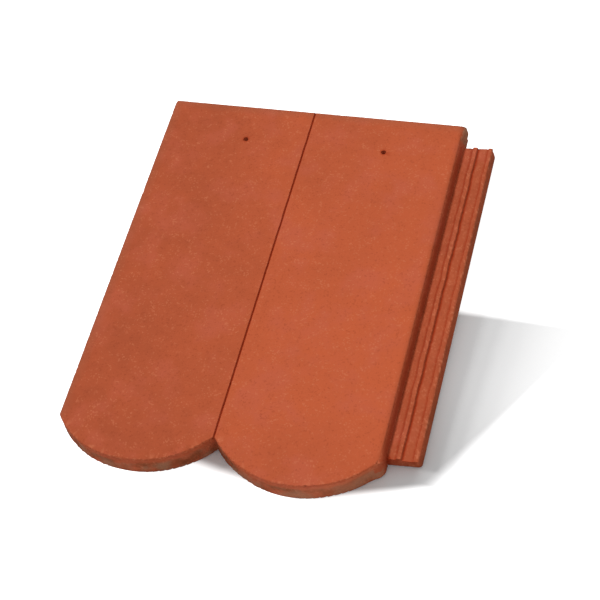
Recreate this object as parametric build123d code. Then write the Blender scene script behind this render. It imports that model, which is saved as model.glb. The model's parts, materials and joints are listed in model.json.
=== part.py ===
from build123d import *
from math import atan, cos, degrees, pi, radians, sin, tan
import os

# Interlocking concrete roof tile with two rounded lobes at its tail.
# It is one cast piece: flat body, lapping strip on the right, lap on the left, two hanging nibs below.
#
# While it is modelled, the tile has its own frame in millimetres:
# X runs across from the face's left edge, Y up the slope from the line where the lobes meet,
# and Z up from the body's underside. At the end it is laid down as it rests on a level floor.

# Face and body
face_width = 297.0
tile_length = 400.0
lobe_count = 2
lobe_rise = 34.8
body_thickness = 21.0
lobe_draft = 2.0
lobe_arris = 1.6
foot_arris = 1.2
side_bevel = 0.9
left_corner_radius = 2.5
right_corner_radius = 2.0

# Groove down the face between the lobes
groove_width = 2.2
groove_depth = 2.6

# Right wall above the strip, with its large rounding towards the face
wall_lead = 2.2
wall_run = 2.0
wall_rounding = 6.8
wall_facets = 6

# Lapping strip on the right, which the next tile covers
strip_width = 34.0
strip_drop = 11.6
strip_tail_gap = 8.0
strip_head_gap = 18.4
strip_end_skew = 2.6
strip_outer_draft = 2.7
strip_tail_draft = 1.8
strip_corner_radius = 3.6
strip_root = 4.0
trough_width = 12.0
inner_rib_width = 4.3
inner_rib_height = 2.0
channel_width = 10.6
outer_rib_width = 3.7
outer_rib_height = 1.3
rib_slope = 0.7
rib_root = 1.0

# Lap under the left edge, which covers the next tile's strip
open_joint = 5.0
lap_clearance = 0.8
lap_side_play = 2.0
lap_end_play = 2.0

# Underside
slab_thickness = 14.0
left_rail_width = 16.0
right_rail_width = 18.0
middle_rail_width = 16.0
tail_band_width = 24.0
head_band_width = 56.0
foot_rib_count = 2
foot_rib_width = 9.0
foot_rib_pitch = 20.0
foot_rib_drop = 4.5
pan_corner_radius = 5.0
pan_draft_angle = 15.0

# Hanging nibs
nib_width = 38.0
nib_depth = 17.0
nib_drop = 12.0
nib_head_gap = 13.0
nib_spacing = 150.0
nib_offset = 6.0
nib_back_slope = 4.0
nib_corner_radius = 3.0
nib_root = 1.0

# Nail holes
nail_hole_diameter = 5.0
nail_hole_head_gap = 41.0
nail_hole_left = 86.5
nail_hole_spacing = 141.0

# Sizes that follow from those above
middle_x = face_width / 2
lobe_width = face_width / lobe_count
lobe_radius = (lobe_width**2 / 4 + lobe_rise**2) / (2 * lobe_rise)
lobe_centre_y = lobe_radius - lobe_rise
tip_y = -lobe_rise - lobe_draft
head_y = tile_length - lobe_rise
wall_top_x = face_width + wall_lead
foot_x = wall_top_x + wall_run
strip_top_z = body_thickness - strip_drop
strip_inner_x = face_width - strip_root
strip_outer_x = face_width + strip_width
strip_tail_y = strip_tail_gap
strip_head_y = head_y - strip_head_gap
strip_end_y = strip_head_y + strip_end_skew
inner_rib_x = face_width + trough_width
inner_rib_end = inner_rib_x + inner_rib_width
outer_rib_x = inner_rib_end + channel_width
cover_width = face_width + open_joint
lap_width = strip_outer_x - cover_width + lap_side_play
lap_tail_y = strip_tail_y - lap_end_play
lap_roof_z = strip_top_z + inner_rib_height + lap_clearance
lap_ridge_z = strip_top_z + lap_clearance
pan_depth = body_thickness - slab_thickness
pan_tail_y = tail_band_width
pan_head_y = head_y - head_band_width
nib_back_y = head_y - nib_head_gap
nib_front_y = nib_back_y - nib_depth
nail_hole_y = head_y - nail_hole_head_gap

# How far a cutting solid runs past the face it cuts
over = 1.0

# The tile rests on its lobes' lower edge and on its nibs, so its head is a little higher than its tail
rest_line_y = tip_y + foot_arris
rest_tilt = degrees(atan(nib_drop / (nib_front_y - rest_line_y)))


def floor_z(y):
    """Height of the floor under the resting tile, in the tile's own frame."""
    return -tan(radians(rest_tilt)) * (y - rest_line_y)


def prism_along_y(section, y_from, y_to):
    """A solid of constant X-Z section, from y_from to y_to."""
    plane = Plane(origin=(0, y_to, 0), x_dir=(1, 0, 0), z_dir=(0, -1, 0))
    return extrude(plane * section, amount=y_to - y_from)


def outline_of(*points):
    """A flat face with straight sides through the given points."""
    return make_face(Polyline(*points, close=True).edges())


def block(x_from, x_to, y_from, y_to, z_from, z_to):
    """A box given by its two corners."""
    size = (x_to - x_from, y_to - y_from, z_to - z_from)
    middle = ((x_from + x_to) / 2, (y_from + y_to) / 2, (z_from + z_to) / 2)
    return Pos(*middle) * Box(*size)


def lobe_disc(lobe):
    """A full conical disc whose tail side is one of the rounded lobes."""
    disc = Cone(lobe_radius + lobe_draft, lobe_radius, body_thickness)
    disc = fillet(disc.edges().sort_by(Axis.Z)[-1:], lobe_arris)
    disc = fillet(disc.edges().sort_by(Axis.Z)[:1], foot_arris)
    lobe_x = lobe_width * (lobe + 0.5)
    return Pos(lobe_x, lobe_centre_y, body_thickness / 2) * disc


def head_block():
    """The straight part of the plan, with its rounded corners at the head."""
    plan = block(0, foot_x, lobe_centre_y / 2, head_y, 0, body_thickness)
    uprights = plan.edges().filter_by(Axis.Z).group_by(Axis.Y)[-1].sort_by(Axis.X)
    plan = fillet(uprights[0], left_corner_radius)
    uprights = plan.edges().filter_by(Axis.Z).group_by(Axis.Y)[-1].sort_by(Axis.X)
    plan = fillet(uprights[-1], right_corner_radius)
    head_top = plan.edges().group_by(Axis.Y)[-1].filter_by(Axis.X).sort_by(Axis.Z)[-1]
    return chamfer(head_top, side_bevel)


def wall_rounding_points():
    """The rounding between face and right wall, in flat facets from the wall up to the face."""
    turn = pi / 2 - atan(wall_run / strip_drop)
    start_x = wall_top_x - wall_rounding * tan(turn / 2)
    centre_z = body_thickness - wall_rounding
    angles = [turn * (1 - facet / wall_facets) for facet in range(wall_facets + 1)]
    return [(start_x + wall_rounding * sin(angle), centre_z + wall_rounding * cos(angle)) for angle in angles]


def body():
    """The flat body: a bar with a rounded right wall, cut in plan into lobes and head."""
    wall = [(foot_x, 0), (foot_x, strip_top_z), *wall_rounding_points()]
    section = outline_of((0, 0), *wall, (0, body_thickness))
    left_corner = section.vertices().group_by(Axis.X)[0].sort_by(Axis.Y)[-1]
    section = chamfer(left_corner, side_bevel)
    bar = prism_along_y(section, tip_y - over, head_y)
    plan = head_block()
    for lobe in range(lobe_count):
        plan += lobe_disc(lobe)
    return bar & plan


def rib(x_from, width, height):
    """One water bar on the strip, with sloping sides."""
    base = strip_top_z - rib_root
    top = strip_top_z + height
    points = [
        (x_from - rib_slope, base),
        (x_from + width + rib_slope, base),
        (x_from + width + rib_slope, strip_top_z),
        (x_from + width - rib_slope, top),
        (x_from + rib_slope, top),
        (x_from - rib_slope, strip_top_z),
    ]
    return prism_along_y(outline_of(*points), strip_tail_y, strip_end_y)


def strip():
    """The lapping strip: a shelf on the right with two water bars and rounded outer corners."""
    shelf = prism_along_y(
        outline_of(
            (strip_inner_x, 0),
            (strip_outer_x, 0),
            (strip_outer_x - strip_outer_draft, strip_top_z),
            (strip_inner_x, strip_top_z),
        ),
        strip_tail_y,
        strip_end_y,
    )
    shelf += rib(inner_rib_x, inner_rib_width, inner_rib_height)
    shelf += rib(outer_rib_x, outer_rib_width, outer_rib_height)
    plan = outline_of(
        (strip_inner_x, strip_tail_y),
        (strip_outer_x, strip_tail_y + strip_end_skew),
        (strip_outer_x, strip_end_y),
        (strip_inner_x, strip_head_y),
    )
    plan = fillet(plan.vertices().group_by(Axis.X)[-1], strip_corner_radius)
    profile = outline_of(
        (strip_tail_y, 0),
        (strip_tail_y + strip_tail_draft * body_thickness / strip_top_z, body_thickness),
        (strip_end_y, body_thickness),
        (strip_end_y, 0),
    )
    plane = Plane(origin=(strip_inner_x, 0, 0), x_dir=(0, 1, 0), z_dir=(1, 0, 0))
    shelf &= extrude(plan, amount=body_thickness)
    return shelf & extrude(plane * profile, amount=strip_outer_x - strip_inner_x)


def lap_cut():
    """The space under the left edge for the next tile's strip, with ridges between its water bars."""
    margin = rib_slope + lap_clearance
    end_y = head_y + over
    edge_ridge_x = inner_rib_x - margin - cover_width
    middle_ridge_x = inner_rib_end + margin - cover_width
    middle_ridge_end = outer_rib_x - margin - cover_width
    space = block(-over, lap_width, lap_tail_y, end_y, -over, lap_roof_z)
    edge_ridge = block(-over, edge_ridge_x, lap_tail_y, end_y, lap_ridge_z, lap_roof_z)
    middle_ridge = block(middle_ridge_x, middle_ridge_end, lap_tail_y, end_y, lap_ridge_z, lap_roof_z)
    return space - edge_ridge - middle_ridge


def pan_cut(x_from, x_to):
    """One shallow pan in the underside, with foot ribs left standing near the tail."""
    place = Pos((x_from + x_to) / 2, (pan_tail_y + pan_head_y) / 2, 0)
    mouth = RectangleRounded(x_to - x_from, pan_head_y - pan_tail_y, pan_corner_radius)
    pan = extrude(place * mouth, amount=pan_depth, taper=pan_draft_angle)
    for number in range(foot_rib_count):
        rib_head_y = pan_tail_y + foot_rib_pitch * (number + 1)
        rib_tail_y = rib_head_y - foot_rib_width
        pan -= block(x_from, x_to, rib_tail_y, rib_head_y, pan_depth - foot_rib_drop, pan_depth)
    return pan


def nib(x):
    """A hanging nib with an upright face towards the tail, its tip level with the floor it rests on."""
    middle_y = (nib_front_y + nib_back_y) / 2
    foot = Pos(x, middle_y, nib_root) * RectangleRounded(nib_width, nib_depth, nib_corner_radius)
    post = extrude(foot, amount=-2 * nib_drop)
    plane = Plane(origin=(x - nib_width / 2, 0, 0), x_dir=(0, 1, 0), z_dir=(1, 0, 0))
    profile = outline_of(
        (nib_front_y, nib_root),
        (nib_front_y, floor_z(nib_front_y)),
        (nib_back_y - nib_back_slope, floor_z(nib_back_y - nib_back_slope)),
        (nib_back_y, 0),
        (nib_back_y, nib_root),
    )
    return post & extrude(plane * profile, amount=nib_width)


def nail_hole(x):
    """A round hole through the body for one nail."""
    return Pos(x, nail_hole_y, body_thickness / 2) * Cylinder(nail_hole_diameter / 2, 2 * body_thickness)


def groove():
    """The narrow V groove down the middle of the face."""
    half_mouth = groove_width / 2 * (groove_depth + over) / groove_depth
    section = outline_of(
        (middle_x - half_mouth, body_thickness + over),
        (middle_x, body_thickness - groove_depth),
        (middle_x + half_mouth, body_thickness + over),
    )
    return prism_along_y(section, tip_y - over, head_y + over)


def laid_down(tile):
    """The tile as it rests, centred over the origin on the floor."""
    tile = Rot(rest_tilt, 0, 0) * tile
    box = tile.bounding_box()
    return Pos(-box.center().X, -box.center().Y, -box.min.Z) * tile


tile = body() + strip()
tile -= lap_cut()
tile -= pan_cut(lap_width + left_rail_width, middle_x - middle_rail_width / 2)
tile -= pan_cut(middle_x + middle_rail_width / 2, foot_x - right_rail_width)
tile -= groove()
for side in (0, 1):
    tile -= nail_hole(nail_hole_left + side * nail_hole_spacing)
for side in (-1, 1):
    tile += nib(middle_x + nib_offset + side * nib_spacing / 2)

os.makedirs("parts", exist_ok=True)
export_step(laid_down(tile), "parts/roof_tile.step")
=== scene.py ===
"""Concrete roof tile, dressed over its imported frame.

The tile is one cast piece. Its surface is made here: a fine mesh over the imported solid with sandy
arrises, rough tail and side walls and uneven water bars, and a procedural concrete finish.
Lengths inside the tile's own frame are in millimetres; every object is in metres.
"""
import json
import logging
import math
from collections.abc import Callable
from dataclasses import dataclass
from enum import Enum

import bmesh
import bpy
from mathutils import Matrix, Vector, noise


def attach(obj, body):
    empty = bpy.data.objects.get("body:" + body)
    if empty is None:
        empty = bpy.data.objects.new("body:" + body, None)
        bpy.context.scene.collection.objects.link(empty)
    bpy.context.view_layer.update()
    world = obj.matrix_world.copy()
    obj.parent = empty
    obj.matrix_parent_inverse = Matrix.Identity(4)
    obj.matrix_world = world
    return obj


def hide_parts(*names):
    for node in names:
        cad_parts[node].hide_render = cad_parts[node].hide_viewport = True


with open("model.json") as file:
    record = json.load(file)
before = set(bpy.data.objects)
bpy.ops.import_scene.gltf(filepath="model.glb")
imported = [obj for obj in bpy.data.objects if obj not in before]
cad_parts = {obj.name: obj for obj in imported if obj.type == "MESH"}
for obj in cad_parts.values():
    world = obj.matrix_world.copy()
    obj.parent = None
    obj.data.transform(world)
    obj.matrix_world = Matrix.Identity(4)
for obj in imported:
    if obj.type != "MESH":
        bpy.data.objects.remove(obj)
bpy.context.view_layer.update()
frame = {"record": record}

log = logging.getLogger("roof_tile")

METRES = 0.001
NODE = "roof_tile"

Colour = tuple[float, float, float, float]
Tree = bpy.types.NodeTree
Socket = bpy.types.NodeSocket


class Zone(Enum):
    """Which part of the casting a point of the surface belongs to."""

    FACE = "face"
    GROOVE = "groove"
    ARRIS = "arris"
    WALL = "wall"
    STRIP = "strip"
    UNDERSIDE = "underside"


def linear(red: float, green: float, blue: float) -> Colour:
    """Turn a colour seen on screen into the linear one that shaders take.

    Args:
        red: Red from 0 to 255.
        green: Green from 0 to 255.
        blue: Blue from 0 to 255.

    Returns:
        The linear colour with an opacity of one.
    """
    def channel(value: float) -> float:
        """Turn one channel into its linear value."""
        share = value / 255.0
        return share / 12.92 if share <= 0.04045 else ((share + 0.055) / 1.055) ** 2.4

    return (channel(red), channel(green), channel(blue), 1.0)


@dataclass(frozen=True)
class Fade:
    """A smooth change along one measure.

    Attributes:
        start: Where the change begins.
        end: Where it is complete, which may be below the start.
        most: How large the change is.
    """

    start: float
    end: float
    most: float = 1.0

    def at(self, value: float) -> float:
        """How large the change is at a value, from nought to its most."""
        share = min(max((value - self.start) / (self.end - self.start), 0.0), 1.0)
        return self.most * (share * share * (3.0 - 2.0 * share))


@dataclass(frozen=True)
class Cloud:
    """Seeded soft noise over the casting.

    Attributes:
        size: About how wide its features are, in millimetres.
        seed: Where in the noise it is taken, so that no two clouds are alike.
    """

    size: float
    seed: tuple[float, float, float] = (0.0, 0.0, 0.0)

    def at(self, place: Vector) -> float:
        """The cloud's value at a place, from about minus one to one."""
        return noise.noise(place / self.size + Vector(self.seed))

    def share(self, place: Vector) -> float:
        """The cloud's value at a place, from about nought to one."""
        return 0.5 + 0.5 * self.at(place)


@dataclass(frozen=True)
class Wander:
    """Seeded wandering of a line that runs up the slope.

    Attributes:
        most: How far it strays, in millimetres.
        length: About how long one bend is, in millimetres.
        seed: Which wandering this is.
        width: How far apart across the slope two lines stray in their own ways, in millimetres.
    """

    most: float
    length: float
    seed: float
    width: float = math.inf

    def at(self, place: Vector) -> float:
        """How far a line strays at a place."""
        return self.most * noise.noise(Vector((self.seed, place.y / self.length, place.x / self.width)))


@dataclass(frozen=True)
class Relief:
    """How rough one zone of the casting is: the depth of its dips in millimetres.

    Attributes:
        coarse: Depth of the wide dips.
        fine: Depth of the dips between sand grains.
        chip: Depth of the scattered chips.
    """

    coarse: float = 0.0
    fine: float = 0.0
    chip: float = 0.0

    def depth(self, coarse: float, fine: float, chip: float) -> float:
        """Add up the dips at a point, each given as a share of its depth."""
        return self.coarse * coarse + self.fine * fine + self.chip * chip


RELIEFS = {
    Zone.FACE: Relief(coarse=0.12),
    Zone.GROOVE: Relief(fine=0.20),
    Zone.ARRIS: Relief(coarse=0.12, fine=0.22, chip=0.55),
    Zone.WALL: Relief(coarse=0.45, fine=0.55),
    Zone.STRIP: Relief(coarse=0.15, fine=0.30, chip=0.30),
    Zone.UNDERSIDE: Relief(coarse=0.10),
}

COAT_COVER = {
    Zone.FACE: 1.0,
    Zone.GROOVE: 1.0,
    Zone.ARRIS: 0.92,
    Zone.WALL: 0.22,
    Zone.STRIP: 0.85,
    Zone.UNDERSIDE: 0.0,
}


@dataclass(frozen=True)
class OwnFrame:
    """The tile's own frame: X across from the face's left edge, Y up the slope, Z up from the underside.

    Attributes:
        to_row: Matrix from the own frame in millimetres to the row's frame in metres.
    """

    to_row: Matrix

    @classmethod
    def from_nail_hole(cls, record: dict, hole_centre: Vector) -> "OwnFrame":
        """Find the frame from a nail hole, which runs square to the face.

        Args:
            record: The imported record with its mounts.
            hole_centre: The hole's middle in the own frame, in millimetres.

        Returns:
            The tile's own frame as it lies on the floor.
        """
        mount = next(item for item in record["mounts"] if item["name"] == "nail_hole_left")
        axis = Vector(mount["axis"])
        tilt = math.atan2(-axis.y, axis.z)
        turn = Matrix.Rotation(tilt, 4, "X") @ Matrix.Scale(METRES, 4)
        shift = Vector(mount["pos_m"]) - turn @ hole_centre
        return cls(Matrix.Translation(shift) @ turn)

    def from_row(self) -> Matrix:
        """Give the matrix from the row's frame in metres to the own frame."""
        return self.to_row.inverted()


@dataclass(frozen=True)
class Pattern:
    """Fractal noise of a finish.

    Attributes:
        size: About how wide its features are, in millimetres.
        detail: How many finer layers it has.
    """

    size: float
    detail: float


@dataclass(frozen=True)
class ConcreteFinish:
    """Through-coloured roofing concrete with a brick-red slurry coat on its face.

    Attributes:
        name: The material's name.
        coat: Colour of the coated face.
        coat_warm: The coat where it is a little thicker and more orange.
        coat_deep: The coat where it looks deeper.
        coat_rose: Clouds of the coat that are a little paler and pinker.
        body: The bare concrete of walls and underside.
        body_dark: Damp-looking, browner patches of bare concrete.
        body_grey: Grey-olive patches with little pigment.
        body_plain: The even colour of the underside.
        sand_and_painted_light: Light sand grains that show through, also painted as light on the nail
            holes' walls and the right lobe's tail wall.
        pit: Dark pinholes between grains.
        painted_shade_red: Deep red painted as shade in the groove, the strip's creases and tail corner, the
            nail holes, on the right wall and under the lobes' arris, and in patches on the strip's tail
            end.
        scuff: Dull brown along the head and the left side, where the coat is thin and handled.
        blotch: Broad blotches of the coat's depth.
        rose: Its paler clouds.
        mottle: The mottle of coat and bare concrete.
        patch: The bare concrete's patches.
        cluster: Where sand grains and pinholes gather.
        speckle: The finest speckle, of the relief and the roughness.
        blotch_share: How much the blotches count beside the coat's painted tone.
        patch_share: How much the patches fray the coat's edge.
        grain_share: How much the single grains count in the relief.
        fineness: How strong the finer layers of each noise are.
        grain: Size of one sand grain in millimetres.
        relief: Height of the sandy relief in millimetres.
        specular: How strongly the surface glints.
        roughness: Its roughness between the grains and on them.
    """

    name: str = "slurry_coated_concrete"
    coat: Colour = linear(190, 92, 59)
    coat_warm: Colour = linear(197, 94, 58)
    coat_deep: Colour = linear(167, 80, 51)
    coat_rose: Colour = linear(191, 95, 71)
    body: Colour = linear(182, 88, 58)
    body_dark: Colour = linear(138, 72, 44)
    body_grey: Colour = linear(158, 114, 88)
    body_plain: Colour = linear(168, 84, 57)
    # Light sand; the same colour is also painted as light on the nail holes' walls and the right lobe's
    # tail wall.
    sand_and_painted_light: Colour = linear(214, 128, 92)
    pit: Colour = linear(128, 48, 26)
    # Painted shade: deep red put where the groove, creases, nail holes and shaded walls lie in shade.
    painted_shade_red: Colour = linear(152, 42, 8)
    scuff: Colour = linear(136, 92, 70)
    blotch: Pattern = Pattern(48.0, 3.0)
    rose: Pattern = Pattern(36.0, 4.0)
    mottle: Pattern = Pattern(14.0, 4.0)
    patch: Pattern = Pattern(19.0, 5.0)
    cluster: Pattern = Pattern(10.0, 2.0)
    speckle: Pattern = Pattern(2.86, 4.0)
    blotch_share: float = 0.7
    patch_share: float = 0.5
    grain_share: float = 0.45
    fineness: float = 0.58
    grain: float = 1.3
    relief: float = 0.18
    specular: float = 0.05
    roughness: tuple[float, float] = (0.78, 0.95)

    def build(self) -> bpy.types.Material:
        """Make the node material.

        Returns:
            The finished material.
        """
        material = bpy.data.materials.new(self.name)
        material.use_nodes = True
        tree = material.node_tree
        tree.nodes.clear()
        output = tree.nodes.new("ShaderNodeOutputMaterial")
        shader = tree.nodes.new("ShaderNodeBsdfPrincipled")
        shader.inputs["Specular IOR Level"].default_value = self.specular
        tree.links.new(shader.outputs["BSDF"], output.inputs["Surface"])
        place = tree.nodes.new("ShaderNodeTexCoord").outputs["Object"]

        blotch = self.noise(tree, place, self.blotch)
        rose = self.noise(tree, place, self.rose)
        cluster = self.noise(tree, place, self.cluster)
        mottle = self.noise(tree, place, self.mottle)
        speckle = self.noise(tree, place, self.speckle)
        patch = self.noise(tree, place, self.patch)

        cloud = self.add(tree, blotch, self.blotch_share, self.painted(tree, "coat_tone"))
        coat = self.blend(tree, self.ramp(tree, cloud, low=0.2, high=1.4), self.coat_deep, self.coat_warm)
        coat = self.blend(tree, self.ramp(tree, mottle, low=0.30, high=0.70, top=0.25), coat, self.coat)
        coat = self.blend(tree, self.ramp(tree, rose, low=0.45, high=0.72, top=0.5), coat, self.coat_rose)
        body = self.blend(tree, self.ramp(tree, patch, low=0.38, high=0.66), self.body_dark, self.body)
        body = self.blend(tree, self.ramp(tree, mottle, low=0.52, high=0.72, top=0.5), body, self.body_grey)
        body = self.blend(tree, self.painted(tree, "greyness"), body, self.body_grey)
        body = self.blend(tree, self.painted(tree, "plainness"), body, self.body_plain)

        edge = self.add(tree, patch, self.patch_share, self.painted(tree, "coat_cover"))
        covered = self.ramp(tree, edge, low=0.62, high=0.92)
        colour = self.blend(tree, covered, body, coat)

        grains = self.cells(tree, place, self.grain)
        light = self.ramp(tree, grains, low=0.76, high=0.92, top=0.31)
        dark = self.ramp(tree, grains, low=0.16, high=0.05, top=0.22)
        flecks = self.product(tree, light, self.ramp(tree, cluster, low=0.44, high=0.62))
        pits = self.product(tree, dark, self.ramp(tree, cluster, low=0.56, high=0.40))
        colour = self.blend(tree, flecks, colour, self.sand_and_painted_light)
        colour = self.blend(tree, pits, colour, self.pit)
        colour = self.blend(tree, self.painted(tree, "scuffing"), colour, self.scuff)
        # Rubbed sand on edges, and painted light on the nail holes' walls and the right lobe's tail wall.
        colour = self.blend(tree, self.painted(tree, "wear_and_painted_light"), colour, self.sand_and_painted_light)
        # Painted shade: deep red in the groove, creases, nail holes, on the right wall and under the lobes'
        # arris.
        colour = self.blend(tree, self.painted(tree, "painted_shade"), colour, self.painted_shade_red)
        tree.links.new(colour, shader.inputs["Base Color"])

        rough = tree.nodes.new("ShaderNodeMapRange")
        least, most = self.roughness
        rough.inputs["To Min"].default_value = least
        rough.inputs["To Max"].default_value = most
        tree.links.new(speckle, rough.inputs["Value"])
        tree.links.new(rough.outputs["Result"], shader.inputs["Roughness"])

        height = self.add(tree, grains, self.grain_share, speckle)
        bump = tree.nodes.new("ShaderNodeBump")
        bump.inputs["Strength"].default_value = 1.0
        bump.inputs["Distance"].default_value = self.relief * METRES
        tree.links.new(height, bump.inputs["Height"])
        tree.links.new(bump.outputs["Normal"], shader.inputs["Normal"])
        return material

    def painted(self, tree: Tree, name: str) -> Socket:
        """Read a value that the tile's points carry.

        Args:
            tree: The material's nodes.
            name: The value's name.

        Returns:
            The socket with the value.
        """
        node = tree.nodes.new("ShaderNodeAttribute")
        node.attribute_name = name
        return node.outputs["Fac"]

    def noise(self, tree: Tree, place: Socket, pattern: Pattern) -> Socket:
        """Add a pattern's fractal noise.

        Args:
            tree: The material's nodes.
            place: Where on the tile the surface is.
            pattern: The noise's size and detail.

        Returns:
            The socket with the noise, from nought to one.
        """
        node = tree.nodes.new("ShaderNodeTexNoise")
        node.inputs["Scale"].default_value = 1.0 / (pattern.size * METRES)
        node.inputs["Detail"].default_value = pattern.detail
        node.inputs["Roughness"].default_value = self.fineness
        tree.links.new(place, node.inputs["Vector"])
        return node.outputs["Fac"]

    def cells(self, tree: Tree, place: Socket, size: float) -> Socket:
        """Add one value for each sand grain.

        Args:
            tree: The material's nodes.
            place: Where on the tile the surface is.
            size: The size of a grain in millimetres.

        Returns:
            The socket with the grain's value, from nought to one.
        """
        node = tree.nodes.new("ShaderNodeTexVoronoi")
        node.inputs["Scale"].default_value = 1.0 / (size * METRES)
        tree.links.new(place, node.inputs["Vector"])
        split = tree.nodes.new("ShaderNodeSeparateColor")
        tree.links.new(node.outputs["Color"], split.inputs["Color"])
        return split.outputs["Red"]

    def ramp(self, tree: Tree, value: Socket, low: float, high: float, top: float = 1.0) -> Socket:
        """Map a value smoothly.

        Args:
            tree: The material's nodes.
            value: The socket to map.
            low: The value that becomes nought.
            high: The value that becomes top.
            top: The largest result.

        Returns:
            The socket with the result.
        """
        node = tree.nodes.new("ShaderNodeMapRange")
        node.interpolation_type = "SMOOTHSTEP"
        node.inputs["From Min"].default_value = low
        node.inputs["From Max"].default_value = high
        node.inputs["To Max"].default_value = top
        tree.links.new(value, node.inputs["Value"])
        return node.outputs["Result"]

    def add(self, tree: Tree, first: Socket, factor: float, last: Socket) -> Socket:
        """Add first times factor to last.

        Args:
            tree: The material's nodes.
            first: The value to multiply.
            factor: What it is multiplied with.
            last: The value to add.

        Returns:
            The socket with the sum.
        """
        node = tree.nodes.new("ShaderNodeMath")
        node.operation = "MULTIPLY_ADD"
        tree.links.new(first, node.inputs[0])
        node.inputs[1].default_value = factor
        tree.links.new(last, node.inputs[2])
        return node.outputs["Value"]

    def product(self, tree: Tree, first: Socket, second: Socket) -> Socket:
        """Multiply two values.

        Args:
            tree: The material's nodes.
            first: One value.
            second: The other value.

        Returns:
            The socket with the product.
        """
        node = tree.nodes.new("ShaderNodeMath")
        node.operation = "MULTIPLY"
        tree.links.new(first, node.inputs[0])
        tree.links.new(second, node.inputs[1])
        return node.outputs["Value"]

    def blend(self, tree: Tree, factor: Socket, first: Socket | Colour, second: Socket | Colour) -> Socket:
        """Mix two colours.

        Args:
            tree: The material's nodes.
            factor: How much of the second colour there is.
            first: The first colour, a socket or a constant.
            second: The second colour, a socket or a constant.

        Returns:
            The socket with the mixed colour.
        """
        node = tree.nodes.new("ShaderNodeMix")
        node.data_type = "RGBA"
        tree.links.new(factor, node.inputs[0])
        for socket, colour in ((node.inputs[6], first), (node.inputs[7], second)):
            if isinstance(colour, Socket):
                tree.links.new(colour, socket)
            else:
                socket.default_value = colour
        return node.outputs[2]


@dataclass(frozen=True)
class Crease:
    """A narrow crease along the lapping strip, at the foot of a water bar, sunk into the surface and
    darkened with painted shade.

    Attributes:
        x: Where it runs, in the own frame in millimetres.
        half_width: Half its width in millimetres.
        depth: Its depth in millimetres.
        painted_darkness: How much painted shade it gets, from nought to one.
    """

    x: float
    half_width: float
    depth: float
    painted_darkness: float

    def share(self, x: float) -> float:
        """How deep in the crease a place is, from nought at its rim to one at its bottom."""
        return max(0.0, 1.0 - abs(x - self.x) / self.half_width)


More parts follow.
